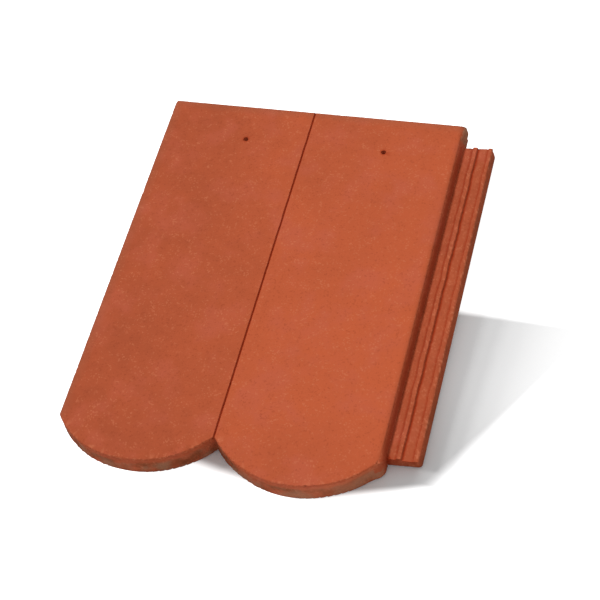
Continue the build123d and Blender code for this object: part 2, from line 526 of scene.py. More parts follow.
@dataclass(frozen=True)
class TileForm:
    """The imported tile's form, in millimetres of its own frame.

    Attributes:
        face_width: Width of the coated face.
        lobe_rise: From the line where the lobes meet to a lobe's tip.
        head_y: Where the head is, up the slope from that line.
        thickness: Height of the face above the underside.
        groove_half: Half the width of the groove between the lobes.
        groove_depth: Depth of that groove.
        wall_start_x: Where the face begins to round down to the right wall.
        foot_x: Where the right wall meets the lapping strip.
        strip_top: Height of the strip's flat top.
        strip_outer_x: The strip's outer edge.
        strip_tail_y: The strip's tail end.
        strip_end_y: The strip's head end, beside the wall.
        strip_slope: How far the strip's outer side leans out.
        rib_crest_x: Middle of the inner water bar's crest.
        rib_flank_x: Foot of the inner bar's outer flank.
        outer_rib_x: Where the outer water bar begins.
        hole_x: Where the two nail holes are, from left to right.
        hole_y: How far up the slope they are.
        hole_radius: Their radius.
        creases: The creases at the foot of the water bars and of the wall.
        underside_band: How far above the underside a point still belongs to it.
        arris_reach: How far from the edge the arris reaches over the face, in plan.
        arris_drop: How far down the wall it reaches.
        slack: How far from a drawn line a point still counts as on it.
        end_slack: The same at the strip's head end.
        groove_slack: The same below the groove's bottom.
        groove_band: How far below its bottom the groove's zone reaches.
        bar_room: Height above the strip's top that its bars stay under.
        rounding: How far into the wall's rounding the face goes.
        downward: A normal below this height looks down.
        upright: A normal below this height looks sideways, on the rounding.
        level: A normal above this height looks up.
        sideways: A normal this long along an axis looks that way.
        lying: The least height of a normal on the strip's top.
        strip_tail: How the strip's crumbly tail end fades out, from the strip's tail.
    """

    face_width: float = 297.0
    lobe_rise: float = 34.8
    head_y: float = 365.2
    thickness: float = 21.0
    groove_half: float = 1.1
    groove_depth: float = 2.6
    wall_start_x: float = 293.6
    foot_x: float = 301.2
    strip_top: float = 9.4
    strip_outer_x: float = 331.0
    strip_tail_y: float = 8.0
    strip_end_y: float = 349.4
    strip_slope: float = 2.7
    rib_crest_x: float = 311.2
    rib_flank_x: float = 313.3
    outer_rib_x: float = 327.3
    hole_x: tuple[float, float] = (86.5, 227.5)
    hole_y: float = 324.2
    hole_radius: float = 2.5
    creases: tuple[Crease, ...] = (
        Crease(301.9, 1.0, 0.15, 0.35),
        Crease(308.1, 1.2, 0.30, 0.50),
        Crease(314.4, 1.6, 0.25, 0.85),
        Crease(323.3, 1.1, 0.35, 0.50),
    )
    underside_band: float = 0.4
    arris_reach: float = 2.6
    arris_drop: float = 1.8
    slack: float = 0.3
    end_slack: float = 0.2
    groove_slack: float = 0.8
    groove_band: float = 0.6
    bar_room: float = 3.0
    rounding: float = 1.5
    downward: float = -0.5
    upright: float = 0.75
    level: float = 0.8
    sideways: float = 0.5
    lying: float = 0.3
    strip_tail: Fade = Fade(5.0, 1.0)

    @property
    def middle_x(self) -> float:
        """Middle of the face, where the groove runs."""
        return self.face_width / 2

    @property
    def lobe_radius(self) -> float:
        """Radius of a lobe at the face."""
        half = self.face_width / 4
        return (half**2 + self.lobe_rise**2) / (2 * self.lobe_rise)

    @property
    def left_hole_centre(self) -> Vector:
        """Middle of the left nail hole, half way through the tile."""
        return Vector((self.hole_x[0], self.hole_y, self.thickness / 2))

    def lobe_centre(self, x: float) -> Vector:
        """Centre of the lobe that a point at x belongs to."""
        lobe = 0.5 if x < self.middle_x else 1.5
        return Vector((self.face_width / 2 * lobe, self.lobe_radius - self.lobe_rise, 0.0))

    def edge_gap(self, point: Vector) -> float:
        """Distance in plan from a point to the nearest edge of the face, inside it.

        Args:
            point: A point in the own frame.

        Returns:
            The distance in millimetres, below nought outside the face.
        """
        gap = min(point.x, self.head_y - point.y)
        centre = self.lobe_centre(point.x)
        if point.y < centre.y:
            reach = math.hypot(point.x - centre.x, point.y - centre.y)
            gap = min(gap, self.lobe_radius - reach)
        return gap

    def hole_gap(self, place: Vector) -> float:
        """Distance in plan from a place to the nearest nail hole's rim, below nought inside it."""
        return min(math.hypot(place.x - x, place.y - self.hole_y) for x in self.hole_x) - self.hole_radius

    def in_hole(self, place: Vector) -> bool:
        """Say whether a place is on the wall of a nail hole."""
        return self.hole_gap(place) < self.slack

    def near_groove(self, place: Vector, below: float) -> bool:
        """Say whether a place is in the groove, or below its bottom by less than the given length."""
        near = abs(place.x - self.middle_x) < self.groove_half + self.slack
        return near and place.z > self.thickness - self.groove_depth - below

    def in_groove(self, place: Vector) -> bool:
        """Say whether a place is on the walls or the bottom of the groove."""
        return self.near_groove(place, self.groove_slack)

    def on_right_wall(self, place: Vector) -> bool:
        """Say whether a place is on the rounded wall above the lapping strip."""
        return place.x > self.wall_start_x and place.z > self.strip_top - self.slack

    def on_outer_side(self, vertex: bmesh.types.BMVert) -> bool:
        """Say whether a point is on the lapping strip's outer side."""
        return vertex.normal.x > self.sideways and vertex.co.x > self.outer_rib_x

    def at_strip_tail(self, place: Vector) -> float:
        """How near a place is to the crumbly tail end of the lapping strip, from nought to one."""
        return self.strip_tail.at(place.y - self.strip_tail_y)

    def zone(self, point: Vector, normal: Vector) -> Zone:
        """Say which part of the casting a point lies on.

        Args:
            point: A point of the surface in the own frame.
            normal: Which way the surface looks there.

        Returns:
            The part of the casting.
        """
        if point.z < self.underside_band or normal.z < self.downward:
            return Zone.UNDERSIDE
        on_strip = point.x > self.foot_x - self.slack and point.z < self.strip_top + self.bar_room
        if on_strip and point.y < self.strip_end_y + self.end_slack:
            return Zone.STRIP
        if self.near_groove(point, self.groove_band):
            return Zone.GROOVE
        if point.x > self.wall_start_x + self.rounding and point.z > self.strip_top - self.slack:
            return Zone.WALL if normal.z < self.upright else Zone.FACE
        if point.z > self.thickness - self.arris_drop and self.edge_gap(point) < self.arris_reach:
            return Zone.ARRIS
        return Zone.FACE if normal.z > self.level else Zone.WALL


@dataclass(frozen=True)
class Shoulder:
    """A stretch of a lobe's rim that is cast fuller than it is drawn.

    Attributes:
        across: How it grows across the tile, by x in millimetres.
        along: How it grows down the slope, by y in millimetres.
        most: How much fuller it is cast, in millimetres.
    """

    across: Fade
    along: Fade
    most: float

    def at(self, place: Vector) -> float:
        """How much fuller the rim is at a place, in millimetres."""
        return self.most * self.across.at(place.x) * self.along.at(place.y)


@dataclass(frozen=True)
class Unevenness:
    """How the cast surface strays from the drawn form, in millimetres.

    Attributes:
        form: The tile's form.
        coarse: The wide dips.
        fine: The dips between sand grains.
        chips: Where chips may be.
        chipped: How a chip comes out of its cloud.
        tail_chipping: How much more the strip's tail end is chipped.
        hole_relief: Roughness of the nail holes' walls.
        bulge: How far the right wall's corners bulge.
        head_bulge: How the bulge grows towards the head, from the strip's head end.
        tail_bulge: How it grows towards the tail, from the strip's tail end.
        bulge_foot: How it grows up from the floor of the wall.
        bulge_face: How it dies out below the face, by the depth under it.
        inner_slump: How far the inner water bar's flank slumps.
        inner_reach: How far from the flank it does.
        outer_bar: How the outer bar's slump grows across it.
        bar_height: How it grows up the bar, from the strip's top.
        bars: Room at both sides between which the bars wander.
        wide_wander: The bars' long bends.
        narrow_wander: Their short ones.
        drift: How far the bars lean out towards the head.
        left_shoulder: The left lobe's fuller shoulder.
        right_shoulder: The right lobe's.
        right_face: Which share of the right shoulder is missing towards the face, by height.
        groove_closing: How far the coat narrows the groove.
        groove_rim: How its rim wavers.
        groove_wander: How the groove wanders.
        groove_fill: How far coat has filled its bottom, by the depth under the face.
        rim_reach: How far around a nail hole its rim is uneven.
        rim_depth: How far down the hole it is.
        rim_cloud_size: How wide the rim's dents are.
        rim_seed: Which dents they are.
        rim_closing: How far the coat closes the hole.
        rim_dents: How far the dents go in or out.
        rim_fade: How the unevenness dies out around the hole.
        rim_sink: How it dies out down the hole.
        rim_dip: How the face dips towards the hole.
    """

    form: TileForm
    coarse: Cloud = Cloud(9.0)
    fine: Cloud = Cloud(2.4, (31.0, 7.0, 3.0))
    chips: Cloud = Cloud(3.6, (5.0, 53.0, 11.0))
    chipped: Fade = Fade(0.30, 0.75)
    tail_chipping: float = 2.0
    hole_relief: Relief = Relief(fine=0.15)
    bulge: tuple[float, float, float] = (1.5, 0.0, 0.8)
    head_bulge: Fade = Fade(-4.0, 12.8)
    tail_bulge: Fade = Fade(8.0, -6.0, 0.6)
    bulge_foot: Fade = Fade(1.0, 12.0)
    bulge_face: Fade = Fade(0.0, 2.5)
    inner_slump: float = 0.7
    inner_reach: float = 3.0
    outer_bar: Fade = Fade(-1.1, 1.0, 0.8)
    bar_height: Fade = Fade(-3.0, 0.0)
    bars: tuple[float, float] = (1.0, 0.5)
    wide_wander: Wander = Wander(0.60, 17.0, 3.0)
    narrow_wander: Wander = Wander(0.45, 4.5, 9.0, 6.0)
    drift: Fade = Fade(100.0, 300.0, 0.9)
    left_shoulder: Shoulder = Shoulder(Fade(74.0, 20.0), Fade(12.0, -6.0), 2.3)
    right_shoulder: Shoulder = Shoulder(Fade(290.0, 300.0), Fade(7.5, -1.0), 3.6)
    right_face: Fade = Fade(10.0, 21.0, 0.6)
    groove_closing: float = 0.10
    groove_rim: Wander = Wander(0.18, 7.0, 1.0, 1.0)
    groove_wander: Wander = Wander(0.15, 16.0, 5.0)
    groove_fill: Fade = Fade(1.6, 2.2, 0.9)
    rim_reach: float = 2.0
    rim_depth: float = 4.0
    rim_cloud_size: float = 3.0
    rim_seed: float = 9.0
    rim_closing: float = 0.15
    rim_dents: float = 0.45
    rim_fade: Fade = Fade(1.2, 0.0)
    rim_sink: Fade = Fade(4.0, 1.0)
    rim_dip: Fade = Fade(1.8, 0.0, 0.25)

    def move(self, zone: Zone, vertex: bmesh.types.BMVert) -> Vector:
        """Work out how far a point moves from the drawn surface.

        Args:
            zone: Which part of the casting the point is on.
            vertex: The point.

        Returns:
            The move in millimetres of the own frame.
        """
        place = vertex.co
        move = self.sway(zone, place) + self.pinch(place) + self.ream(place) + self.droop(place)
        return vertex.normal * -self.depth(zone, vertex) + move

    def depth(self, zone: Zone, vertex: bmesh.types.BMVert) -> float:
        """How far a point sinks below the drawn surface.

        Args:
            zone: Which part of the casting the point is on.
            vertex: The point, in the own frame.

        Returns:
            The depth in millimetres.
        """
        form = self.form
        place = vertex.co
        coarse = self.coarse.share(place)
        fine = self.fine.share(place)
        chip = self.chipped.at(self.chips.at(place))
        if form.in_hole(place):
            return self.hole_relief.depth(coarse, fine, chip)
        if zone is not Zone.STRIP:
            return RELIEFS[zone].depth(coarse, fine, chip)
        chip *= 1.0 + self.tail_chipping * form.at_strip_tail(place)
        depth = RELIEFS[zone].depth(coarse, fine, chip)
        if vertex.normal.z > form.lying:
            depth += max(crease.depth * crease.share(place.x) for crease in form.creases)
        return depth

    def sway(self, zone: Zone, place: Vector) -> Vector:
        """How far the right wall's corners bulge and the strip's bars lean.

        Args:
            zone: Which part of the casting the point is on.
            place: A place in the own frame.

        Returns:
            The move in millimetres.
        """
        form = self.form
        if zone is Zone.WALL and place.x > form.wall_start_x:
            corner = self.head_bulge.at(place.y - form.strip_end_y)
            corner += self.tail_bulge.at(place.y - form.strip_tail_y)
            middle = self.bulge_foot.at(place.z) * self.bulge_face.at(form.thickness - place.z)
            return Vector(self.bulge) * corner * middle
        if zone is Zone.STRIP and place.z >= form.strip_top + self.bar_height.start:
            return Vector((self.slump(place), 0.0, 0.0))
        return Vector()

    def slump(self, place: Vector) -> float:
        """How far a point of the strip's bars slumps and wanders towards the strip's outer edge.

        Args:
            place: A place in the own frame.

        Returns:
            The distance in millimetres.
        """
        form = self.form
        slump = self.inner_slump * max(0.0, 1.0 - abs(place.x - form.rib_flank_x) / self.inner_reach)
        on_bar = self.outer_bar.at(place.x - form.outer_rib_x)
        slump += on_bar * self.bar_height.at(place.z - form.strip_top)
        foot_room, side_room = self.bars
        side = form.strip_outer_x - form.strip_slope
        if form.foot_x + foot_room < place.x < side - side_room:
            wander = self.wide_wander.at(place) + self.narrow_wander.at(place)
            slump += wander + self.drift.at(place.y)
        return slump

    def droop(self, place: Vector) -> Vector:
        """How much fuller the lobes' outer shoulders are cast at a point."""
        right = self.right_shoulder.at(place) * (1.0 - self.right_face.at(place.z))
        return Vector((0.0, -self.left_shoulder.at(place) - right, 0.0))

    def pinch(self, place: Vector) -> Vector:
        """How far the coat has narrowed and partly filled the groove at a point.

        Args:
            place: A place in the own frame.

        Returns:
            The move in millimetres, nought outside the groove.
        """
        form = self.form
        if not form.in_groove(place):
            return Vector()
        closing = math.copysign(self.groove_rim.at(place) - self.groove_closing, form.middle_x - place.x)
        rise = self.groove_fill.at(form.thickness - place.z)
        return Vector((closing + self.groove_wander.at(place), 0.0, rise))

    def ream(self, place: Vector) -> Vector:
        """How far a nail hole's uneven rim opens, closes or dips at a point.

        Args:
            place: A place in the own frame.

        Returns:
            The move in millimetres, nought away from the holes.
        """
        form = self.form
        depth = form.thickness - place.z
        for x in form.hole_x:
            out = Vector((place.x - x, place.y - form.hole_y, 0.0))
            gap = out.length - form.hole_radius
            if gap < self.rim_reach and depth < self.rim_depth:
                dents = Cloud(self.rim_cloud_size, (x, self.rim_seed, 0.0))
                opening = self.rim_dents * dents.at(out) - self.rim_closing
                opening *= self.rim_fade.at(gap) * self.rim_sink.at(depth)
                return out.normalized() * opening - Vector((0.0, 0.0, self.rim_dip.at(gap)))
        return Vector()


@dataclass(frozen=True)
class Colouring:
    """Where the coat covers, darkens and wears off, and where shade and light are painted on: each rule
    gives one value for a point.

    Attributes:
        form: The tile's form.
        outer_side_cover: How well the coat covers the strip's outer side.
        right_wall_cover: How well it covers the right wall.
        head_bareness: How much less at the wall's head end, from the strip's head end.
        wall_cover: How the cover of the other walls grows up to the face.
        strip_tone: How bright the coat is on the strip.
        right_tone: How bright it is on the right lobe.
        right_across: How much brighter towards the right.
        right_down: How much brighter down the slope.
        right_tail: How much deeper at the right lobe's tail.
        left_tone: How bright the coat is on the left lobe.
        left_across: How much brighter towards the groove.
        left_side_x: Where that begins.
        left_head: How much more of it there is towards the head.
        left_tail: How much deeper the coat is at the left lobe's tail.
        outer_side_grey: How grey the strip's outer side is.
        grey_cloud: Where walls are grey.
        grey_fade: How grey comes out of that cloud.
        head_grey: How grey the right wall's head end is, from the strip's head end.
        head_grey_plain: Which share of that is even.
        head_grey_cloudy: Which share is cloudy.
        tail_grey: How grey the right wall's tail end is, from the strip's tail end.
        tail_wall_grey: How grey the lobes' walls are.
        side_wall_grey: How grey the left wall and the head are.
        plain: How even the underside is, which the picture doesn't show.
        scuff_depth: How far below the face the scuffs reach.
        head_scuffs: The scuffs along the head, by the distance from it.
        side_scuffs: The scuffs along the left side, by the distance from it.
        rim_shade: Painted shade around a nail hole and down into it, by the distance from its rim.
        rim_shade_depth: How it dies out down the hole.
        groove_shade: Painted shade in the groove, by depth.
        foot_shade: Painted shade in the strip's tail corner, by the distance from it.
        foot_shade_y: Where that corner is, from the strip's tail end.
        strip_end_cloud: Where the strip's tail end is darkened.
        strip_end_fade: How the darkening comes out of that cloud.
        strip_end_darkening: The darkening's strength, from the floor up.
        wall_shade: Painted shade on the right wall, by depth.
        wall_shade_end: How it dies out at the wall's head end, from the strip's head end.
        lobe_line_cloud: Where the painted shade line under the lobes' arris is broken.
        lobe_line_fade: How the line comes out of that cloud.
        lobe_line: The line's strength.
        lobe_line_depth: How far below the face it runs.
        lobe_line_half: Half its width.
        rub_cloud: Where edges are rubbed.
        rub_fade: How the rubbing comes out of that cloud.
        hole_painted_light: Painted light on a nail hole's wall, in the sand colour, by depth.
        arris_rub: How much sand shows on the lobes' arris.
        lobe_wall_y: Up to where the walls count as the lobes'.
        lobe_wall_rub: How much sand shows on them.
        right_lobe_painted_light: Painted light on the right lobe's tail wall, growing across the tile.
        strip_end_rub: How much sand shows on the strip's tail end.
        strip_rub: How much shows on the strip's top at most.
        strip_rub_least: The least share of that.
        crest_half: Half the width of the inner bar's rubbed crest.
        rim_rub: How the strip's outer rim is rubbed, from its outer edge.
    """

    form: TileForm
    outer_side_cover: float = 0.60
    right_wall_cover: float = 0.75
    head_bareness: Fade = Fade(-6.0, 2.0, 0.6)
    wall_cover: Fade = Fade(8.0, 19.0, 0.5)
    strip_tone: float = 0.10
    right_tone: float = 0.48
    right_across: Fade = Fade(200.0, 270.0, 0.12)
    right_down: Fade = Fade(360.0, 100.0, 0.18)
    right_tail: Fade = Fade(60.0, -20.0, 0.22)
    left_tone: float = 0.18
    left_across: float = 0.24
    left_side_x: float = 45.0
    left_head: Fade = Fade(200.0, 340.0, 0.10)
    left_tail: Fade = Fade(60.0, -20.0, 0.14)
    outer_side_grey: float = 0.12
    grey_cloud: Cloud = Cloud(15.0, (17.0, 2.0, 5.0))
    grey_fade: Fade = Fade(-0.25, 0.35)
    head_grey: Fade = Fade(-4.0, 3.0)
    head_grey_plain: float = 0.55
    head_grey_cloudy: float = 0.35
    tail_grey: Fade = Fade(12.0, -4.0, 0.45)
    tail_wall_grey: float = 0.65
    side_wall_grey: float = 0.35
    plain: float = 0.8
    scuff_depth: float = 3.0
    head_scuffs: tuple[Fade, Fade] = (Fade(8.0, 1.0, 0.30), Fade(2.4, 0.4, 0.25))
    side_scuffs: tuple[Fade, Fade] = (Fade(8.0, 1.0, 0.26), Fade(2.4, 0.4, 0.25))
    rim_shade: Fade = Fade(1.8, 0.0, 0.50)
    rim_shade_depth: Fade = Fade(3.0, 1.0)
    groove_shade: Fade = Fade(0.1, 1.6, 0.70)
    foot_shade: Fade = Fade(5.0, 1.5, 0.7)
    foot_shade_y: float = 2.0
    strip_end_cloud: Cloud = Cloud(4.0, (7.0, 1.0, 29.0))
    strip_end_fade: Fade = Fade(-0.30, 0.30)
    strip_end_darkening: Fade = Fade(3.0, 9.4, 0.6)
    wall_shade: Fade = Fade(0.5, 4.0, 0.35)
    wall_shade_end: Fade = Fade(0.0, -8.0)
    lobe_line_cloud: Cloud = Cloud(7.0, (3.0, 41.0, 8.0))
    lobe_line_fade: Fade = Fade(-0.15, 0.30)
    lobe_line: float = 0.6
    lobe_line_depth: float = 2.4
    lobe_line_half: float = 1.2
    rub_cloud: Cloud = Cloud(2.2, (23.0, 13.0, 19.0))
    rub_fade: Fade = Fade(0.15, 0.50)
    hole_painted_light: Fade = Fade(0.4, 1.4)
    arris_rub: float = 0.35
    lobe_wall_y: float = 3.0
    lobe_wall_rub: float = 0.15
    right_lobe_painted_light: Fade = Fade(180.0, 290.0, 0.30)
    strip_end_rub: float = 0.45
    strip_rub: float = 0.60
    strip_rub_least: float = 0.3
    crest_half: float = 2.4
    rim_rub: Fade = Fade(-6.0, -3.5)

    @property
    def rules(self) -> tuple[Callable[[Zone, bmesh.types.BMVert], float], ...]:
        """The rules, whose names are those of the values that the finish reads."""
        cover = (self.coat_cover, self.coat_tone, self.greyness, self.plainness)
        return cover + (self.scuffing, self.painted_shade, self.wear_and_painted_light)

    def coat_cover(self, zone: Zone, vertex: bmesh.types.BMVert) -> float:
        """How well the slurry coat covers a point, from nought to one.

        Args:
            zone: Which part of the casting the point is on.
            vertex: The point, in the own frame.

        Returns:
            The cover.
        """
        form = self.form
        place = vertex.co
        if zone is Zone.STRIP and form.on_outer_side(vertex):
            return self.outer_side_cover
        if zone is Zone.WALL and form.on_right_wall(place):
            return self.right_wall_cover - self.head_bareness.at(place.y - form.strip_end_y)
        if zone is Zone.WALL:
            return COAT_COVER[zone] + self.wall_cover.at(place.z)
        return COAT_COVER[zone]

    def coat_tone(self, zone: Zone, vertex: bmesh.types.BMVert) -> float:
        """How bright the coat is: deepest at the tail, on the left lobe and on the lapping strip.

        Args:
            zone: Which part of the casting the point is on; not used here.
            vertex: The point, in the own frame.

        Returns:
            The tone, from nought to one.
        """
        form = self.form
        place = vertex.co
        if place.x > form.face_width:
            return self.strip_tone
        if place.x > form.middle_x:
            tone = self.right_tone + self.right_across.at(place.x) + self.right_down.at(place.y)
            return tone - self.right_tail.at(place.y)
        across = Fade(self.left_side_x, form.middle_x, self.left_across + self.left_head.at(place.y))
        return self.left_tone + across.at(place.x) - self.left_tail.at(place.y)

    def greyness(self, zone: Zone, vertex: bmesh.types.BMVert) -> float:
        """How little pigment the bare concrete has at a point, from nought to one.

        Args:
            zone: Which part of the casting the point is on.
            vertex: The point, in the own frame.

        Returns:
            The greyness.
        """
        form = self.form
        place = vertex.co
        if zone is Zone.STRIP and form.on_outer_side(vertex):
            return self.outer_side_grey
        if zone is not Zone.WALL:
            return 0.0
        cloud = self.grey_fade.at(self.grey_cloud.at(place))
        if form.on_right_wall(place):
            head = self.head_grey_plain + self.head_grey_cloudy * cloud
            head *= self.head_grey.at(place.y - form.strip_end_y)
            return head + self.tail_grey.at(place.y - form.strip_tail_y)
        return cloud * (self.tail_wall_grey if place.y < 0.0 else self.side_wall_grey)

    def plainness(self, zone: Zone, vertex: bmesh.types.BMVert) -> float:
        """How even the bare concrete is at a point, underneath and in the nail holes."""
        return self.plain if zone is Zone.UNDERSIDE or self.form.in_hole(vertex.co) else 0.0

    def scuffing(self, zone: Zone, vertex: bmesh.types.BMVert) -> float:
        """How dull and brown the coat is near the head and the left side, from nought to one.

        Args:
            zone: Which part of the casting the point is on; not used here.
            vertex: The point, in the own frame.

        Returns:
            The scuffing.
        """
        form = self.form
        place = vertex.co
        if place.z < form.thickness - self.scuff_depth:
            return 0.0
        near_head = sum(scuff.at(form.head_y - place.y) for scuff in self.head_scuffs)
        near_side = sum(scuff.at(place.x) for scuff in self.side_scuffs)
        return max(near_head, near_side)

    def painted_shade(self, zone: Zone, vertex: bmesh.types.BMVert) -> float:
        """How much deep red painted shade a point of a hole, the groove, a wall or the strip gets.

        Args:
            zone: Which part of the casting the point is on.
            vertex: The point, in the own frame.

        Returns:
            The painted shade's strength, from nought to one.
        """
        form = self.form
        place = vertex.co
        depth = form.thickness - place.z
        gap = form.hole_gap(place)
        # Painted shade around each nail hole's rim and down its wall.
        if gap < self.rim_shade.start:
            return self.rim_shade.at(gap) * self.rim_shade_depth.at(depth)
        # Painted shade down in the groove.
        if form.in_groove(place):
            return self.groove_shade.at(depth)
        if zone is Zone.STRIP:
            return self.strip_painted_shade(vertex)
        # Painted shade on the right wall, stronger further down, dying out at its head end.
        if zone is Zone.WALL and form.on_right_wall(place):
            return self.wall_shade.at(depth) * self.wall_shade_end.at(place.y - form.strip_end_y)
        # Painted shade: a broken dark line just under the lobes' arris.
        if zone is Zone.WALL and place.y < 0.0:
            broken = self.lobe_line_fade.at(self.lobe_line_cloud.at(place))
            line = max(0.0, 1.0 - abs(depth - self.lobe_line_depth) / self.lobe_line_half)
            return self.lobe_line * broken * line
        return 0.0

    def strip_painted_shade(self, vertex: bmesh.types.BMVert) -> float:
        """How much deep red painted shade a point of the lapping strip gets, from nought to one.

        Args:
            vertex: The point, in the own frame.

        Returns:
            The painted shade's strength.
        """
        form = self.form
        place = vertex.co
        # Painted shade in the corner where the strip's tail meets the wall.
        corner = Vector((place.x - form.foot_x, place.y - form.strip_tail_y - self.foot_shade_y))
        pit = self.foot_shade.at(corner.length)
        # Patches of the same deep red on the strip's tail end, stronger towards its top.
        if vertex.normal.y < -form.sideways:
            broken = self.strip_end_fade.at(self.strip_end_cloud.at(place))
            return max(pit, broken * self.strip_end_darkening.at(place.z))
        # Painted shade along the creases at the foot of the wall and the water bars, and in the tail
        # corner.
        return max(pit, max(crease.painted_darkness * crease.share(place.x) for crease in form.creases))

    def wear_and_painted_light(self, zone: Zone, vertex: bmesh.types.BMVert) -> float:
        """How far light sand shows at a rubbed point of an edge, and how much light is painted on the nail
        holes' walls and the right lobe's tail wall, from nought to one.

        Args:
            zone: Which part of the casting the point is on.
            vertex: The point, in the own frame.

        Returns:
            The strength of the sand and the painted light.
        """
        form = self.form
        place = vertex.co
        rubbed = self.rub_fade.at(self.rub_cloud.at(place))
        # Painted light: the nail holes' walls are made lighter below the rim.
        if form.in_hole(place):
            return self.hole_painted_light.at(form.thickness - place.z)
        if zone is Zone.ARRIS and place.y < 0.0:
            return self.arris_rub * rubbed
        if zone is Zone.WALL and place.y < self.lobe_wall_y:
            # Painted light on the lobes' tail wall, growing towards the right.
            return self.lobe_wall_rub * rubbed + self.right_lobe_painted_light.at(place.x)
        if zone is Zone.STRIP and vertex.normal.y < -form.sideways:
            return self.strip_end_rub * rubbed
        if zone is Zone.STRIP and vertex.normal.z > form.lying:
            crest = max(0.0, 1.0 - abs(place.x - form.rib_crest_x) / self.crest_half)
            rim = self.rim_rub.at(place.x - form.strip_outer_x)
            share = max(crest, rim, form.at_strip_tail(place), self.strip_rub_least)
            return self.strip_rub * rubbed * share
        return 0.0


@dataclass(frozen=True)
class RoofTile:
    """The cast tile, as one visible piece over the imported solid.

    Attributes:
        own: The tile's own frame.
        finish: Its concrete.
        form: Its packed form.
        unevenness: How its surface strays from that form.
        colouring: Where its coat covers, darkens and wears off.
        weld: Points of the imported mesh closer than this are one.
        flat_angle: Faces that meet at less than this angle are one.
        sharp_angle: Edges up to this angle are shaded smooth.
        hole_room: Edges this near a nail hole's rim are kept.
        cell: Distance between the cuts across the face.
        strip_column: Distance between the cuts along the lapping strip.
        cut_slack: Points this near a cut are taken as on it.
        most_splits: How often an edge is split at most.
        wall_edge: Longest edge on walls, arrises and groove.
        strip_edge: Longest edge on the strip.
        rim_edge: Longest edge around a nail hole.
        rim_reach: How far around a nail hole that holds.
        rim_depth: How far down the hole it holds.
    """

    own: OwnFrame
    finish: ConcreteFinish
    form: TileForm
    unevenness: Unevenness
    colouring: Colouring
    weld: float = 0.001
    flat_angle: float = math.radians(0.3)
    sharp_angle: float = math.radians(50.0)
    hole_room: float = 0.5
    cell: float = 7.0
    strip_column: float = 1.25
    cut_slack: float = 0.0005
    most_splits: int = 7
    wall_edge: float = 2.38
    strip_edge: float = 3.36
    rim_edge: float = 1.1
    rim_reach: float = 2.5
    rim_depth: float = 4.0

    def build(self) -> bpy.types.Object:
        """Make the tile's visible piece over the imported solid.

        Returns:
            The finished object.
        """
        casting = self.fine_mesh()
        self.split_long_edges(casting)
        self.weather(casting)
        piece = self.to_object(casting)
        piece.data.materials.append(self.finish.build())
        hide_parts(NODE)
        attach(piece, "root")
        count = sum(len(face.vertices) - 2 for face in piece.data.polygons)
        log.info("%s: %d vertices, %d triangles", piece.name, len(piece.data.vertices), count)
        return piece

    def fine_mesh(self) -> bmesh.types.BMesh:
        """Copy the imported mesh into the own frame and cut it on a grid.

        Returns:
            The cut mesh, in millimetres.
        """
        form = self.form
        casting = bmesh.new()
        casting.from_mesh(bpy.data.objects[NODE].data)
        casting.transform(self.own.from_row())
        bmesh.ops.remove_doubles(casting, verts=casting.verts, dist=self.weld)
        loose = [edge for edge in casting.edges if not self.at_hole(edge)]
        bmesh.ops.dissolve_limit(casting, angle_limit=self.flat_angle, verts=[], edges=loose)
        for edge in casting.edges:
            edge.smooth = edge.calc_face_angle(0.0) < self.sharp_angle
        across = self.cuts(0.0, form.face_width, self.cell)
        across += self.cuts(form.foot_x, form.strip_outer_x, self.strip_column)
        across += [crease.x for crease in form.creases]
        along = self.cuts(-form.lobe_rise, form.head_y, self.cell)
        for axis, places in ((Vector((1, 0, 0)), across), (Vector((0, 1, 0)), along)):
            for place in places:
                self.cut(casting, axis, place)
        return casting

    def at_hole(self, edge: bmesh.types.BMEdge) -> bool:
        """Say whether an edge touches a nail hole's rim or wall."""
        return any(self.form.hole_gap(end.co) < self.hole_room for end in edge.verts)

    def cuts(self, low: float, high: float, cell: float) -> list[float]:
        """Places of the grid's cuts between two edges, about a cell apart.

        Args:
            low: The lower edge.
            high: The upper edge.
            cell: The distance that the cuts are about apart.

        Returns:
            The places of the cuts.
        """
        count = round((high - low) / cell)
        pitch = (high - low) / count
        return [low + pitch * (number + 0.5) for number in range(count)]

    def cut(self, casting: bmesh.types.BMesh, axis: Vector, place: float) -> None:
        """Cut every face that a plane crosses.

        Args:
            casting: The mesh, in millimetres of the own frame.
            axis: Direction square to the plane.
            place: Where on that axis the plane is.
        """
        bmesh.ops.bisect_plane(
            casting,
            geom=casting.verts[:] + casting.edges[:] + casting.faces[:],
            dist=self.cut_slack,
            plane_co=axis * place,
            plane_no=axis,
        )

    def split_long_edges(self, casting: bmesh.types.BMesh) -> None:
        """Split edges of walls, arrises and strip until they are short enough for their relief.

        Args:
            casting: The mesh, in millimetres of the own frame.
        """
        for _ in range(self.most_splits):
            casting.normal_update()
            long_edges = [edge for edge in casting.edges if self.too_long(edge)]
            if not long_edges:
                break
            bmesh.ops.subdivide_edges(casting, edges=long_edges, cuts=1)
            crowded = [face for face in casting.faces if len(face.verts) > 4]
            bmesh.ops.triangulate(casting, faces=crowded, quad_method="BEAUTY", ngon_method="BEAUTY")

    def too_long(self, edge: bmesh.types.BMEdge) -> bool:
        """Say whether an edge needs one more point for the relief of its zone.

        Args:
            edge: The edge.

        Returns:
            Whether the edge is to be split.
        """
        length = edge.calc_length()
        first, second = edge.verts
        middle = (first.co + second.co) / 2
        at_rim = abs(self.form.hole_gap(middle)) < self.rim_reach
        if at_rim and length > self.rim_edge and middle.z > self.form.thickness - self.rim_depth:
            return True
        if length < self.wall_edge:
            return False
        zone = self.form.zone(middle, (first.normal + second.normal).normalized())
        if zone in (Zone.WALL, Zone.ARRIS, Zone.GROOVE):
            return True
        return zone is Zone.STRIP and length > self.strip_edge

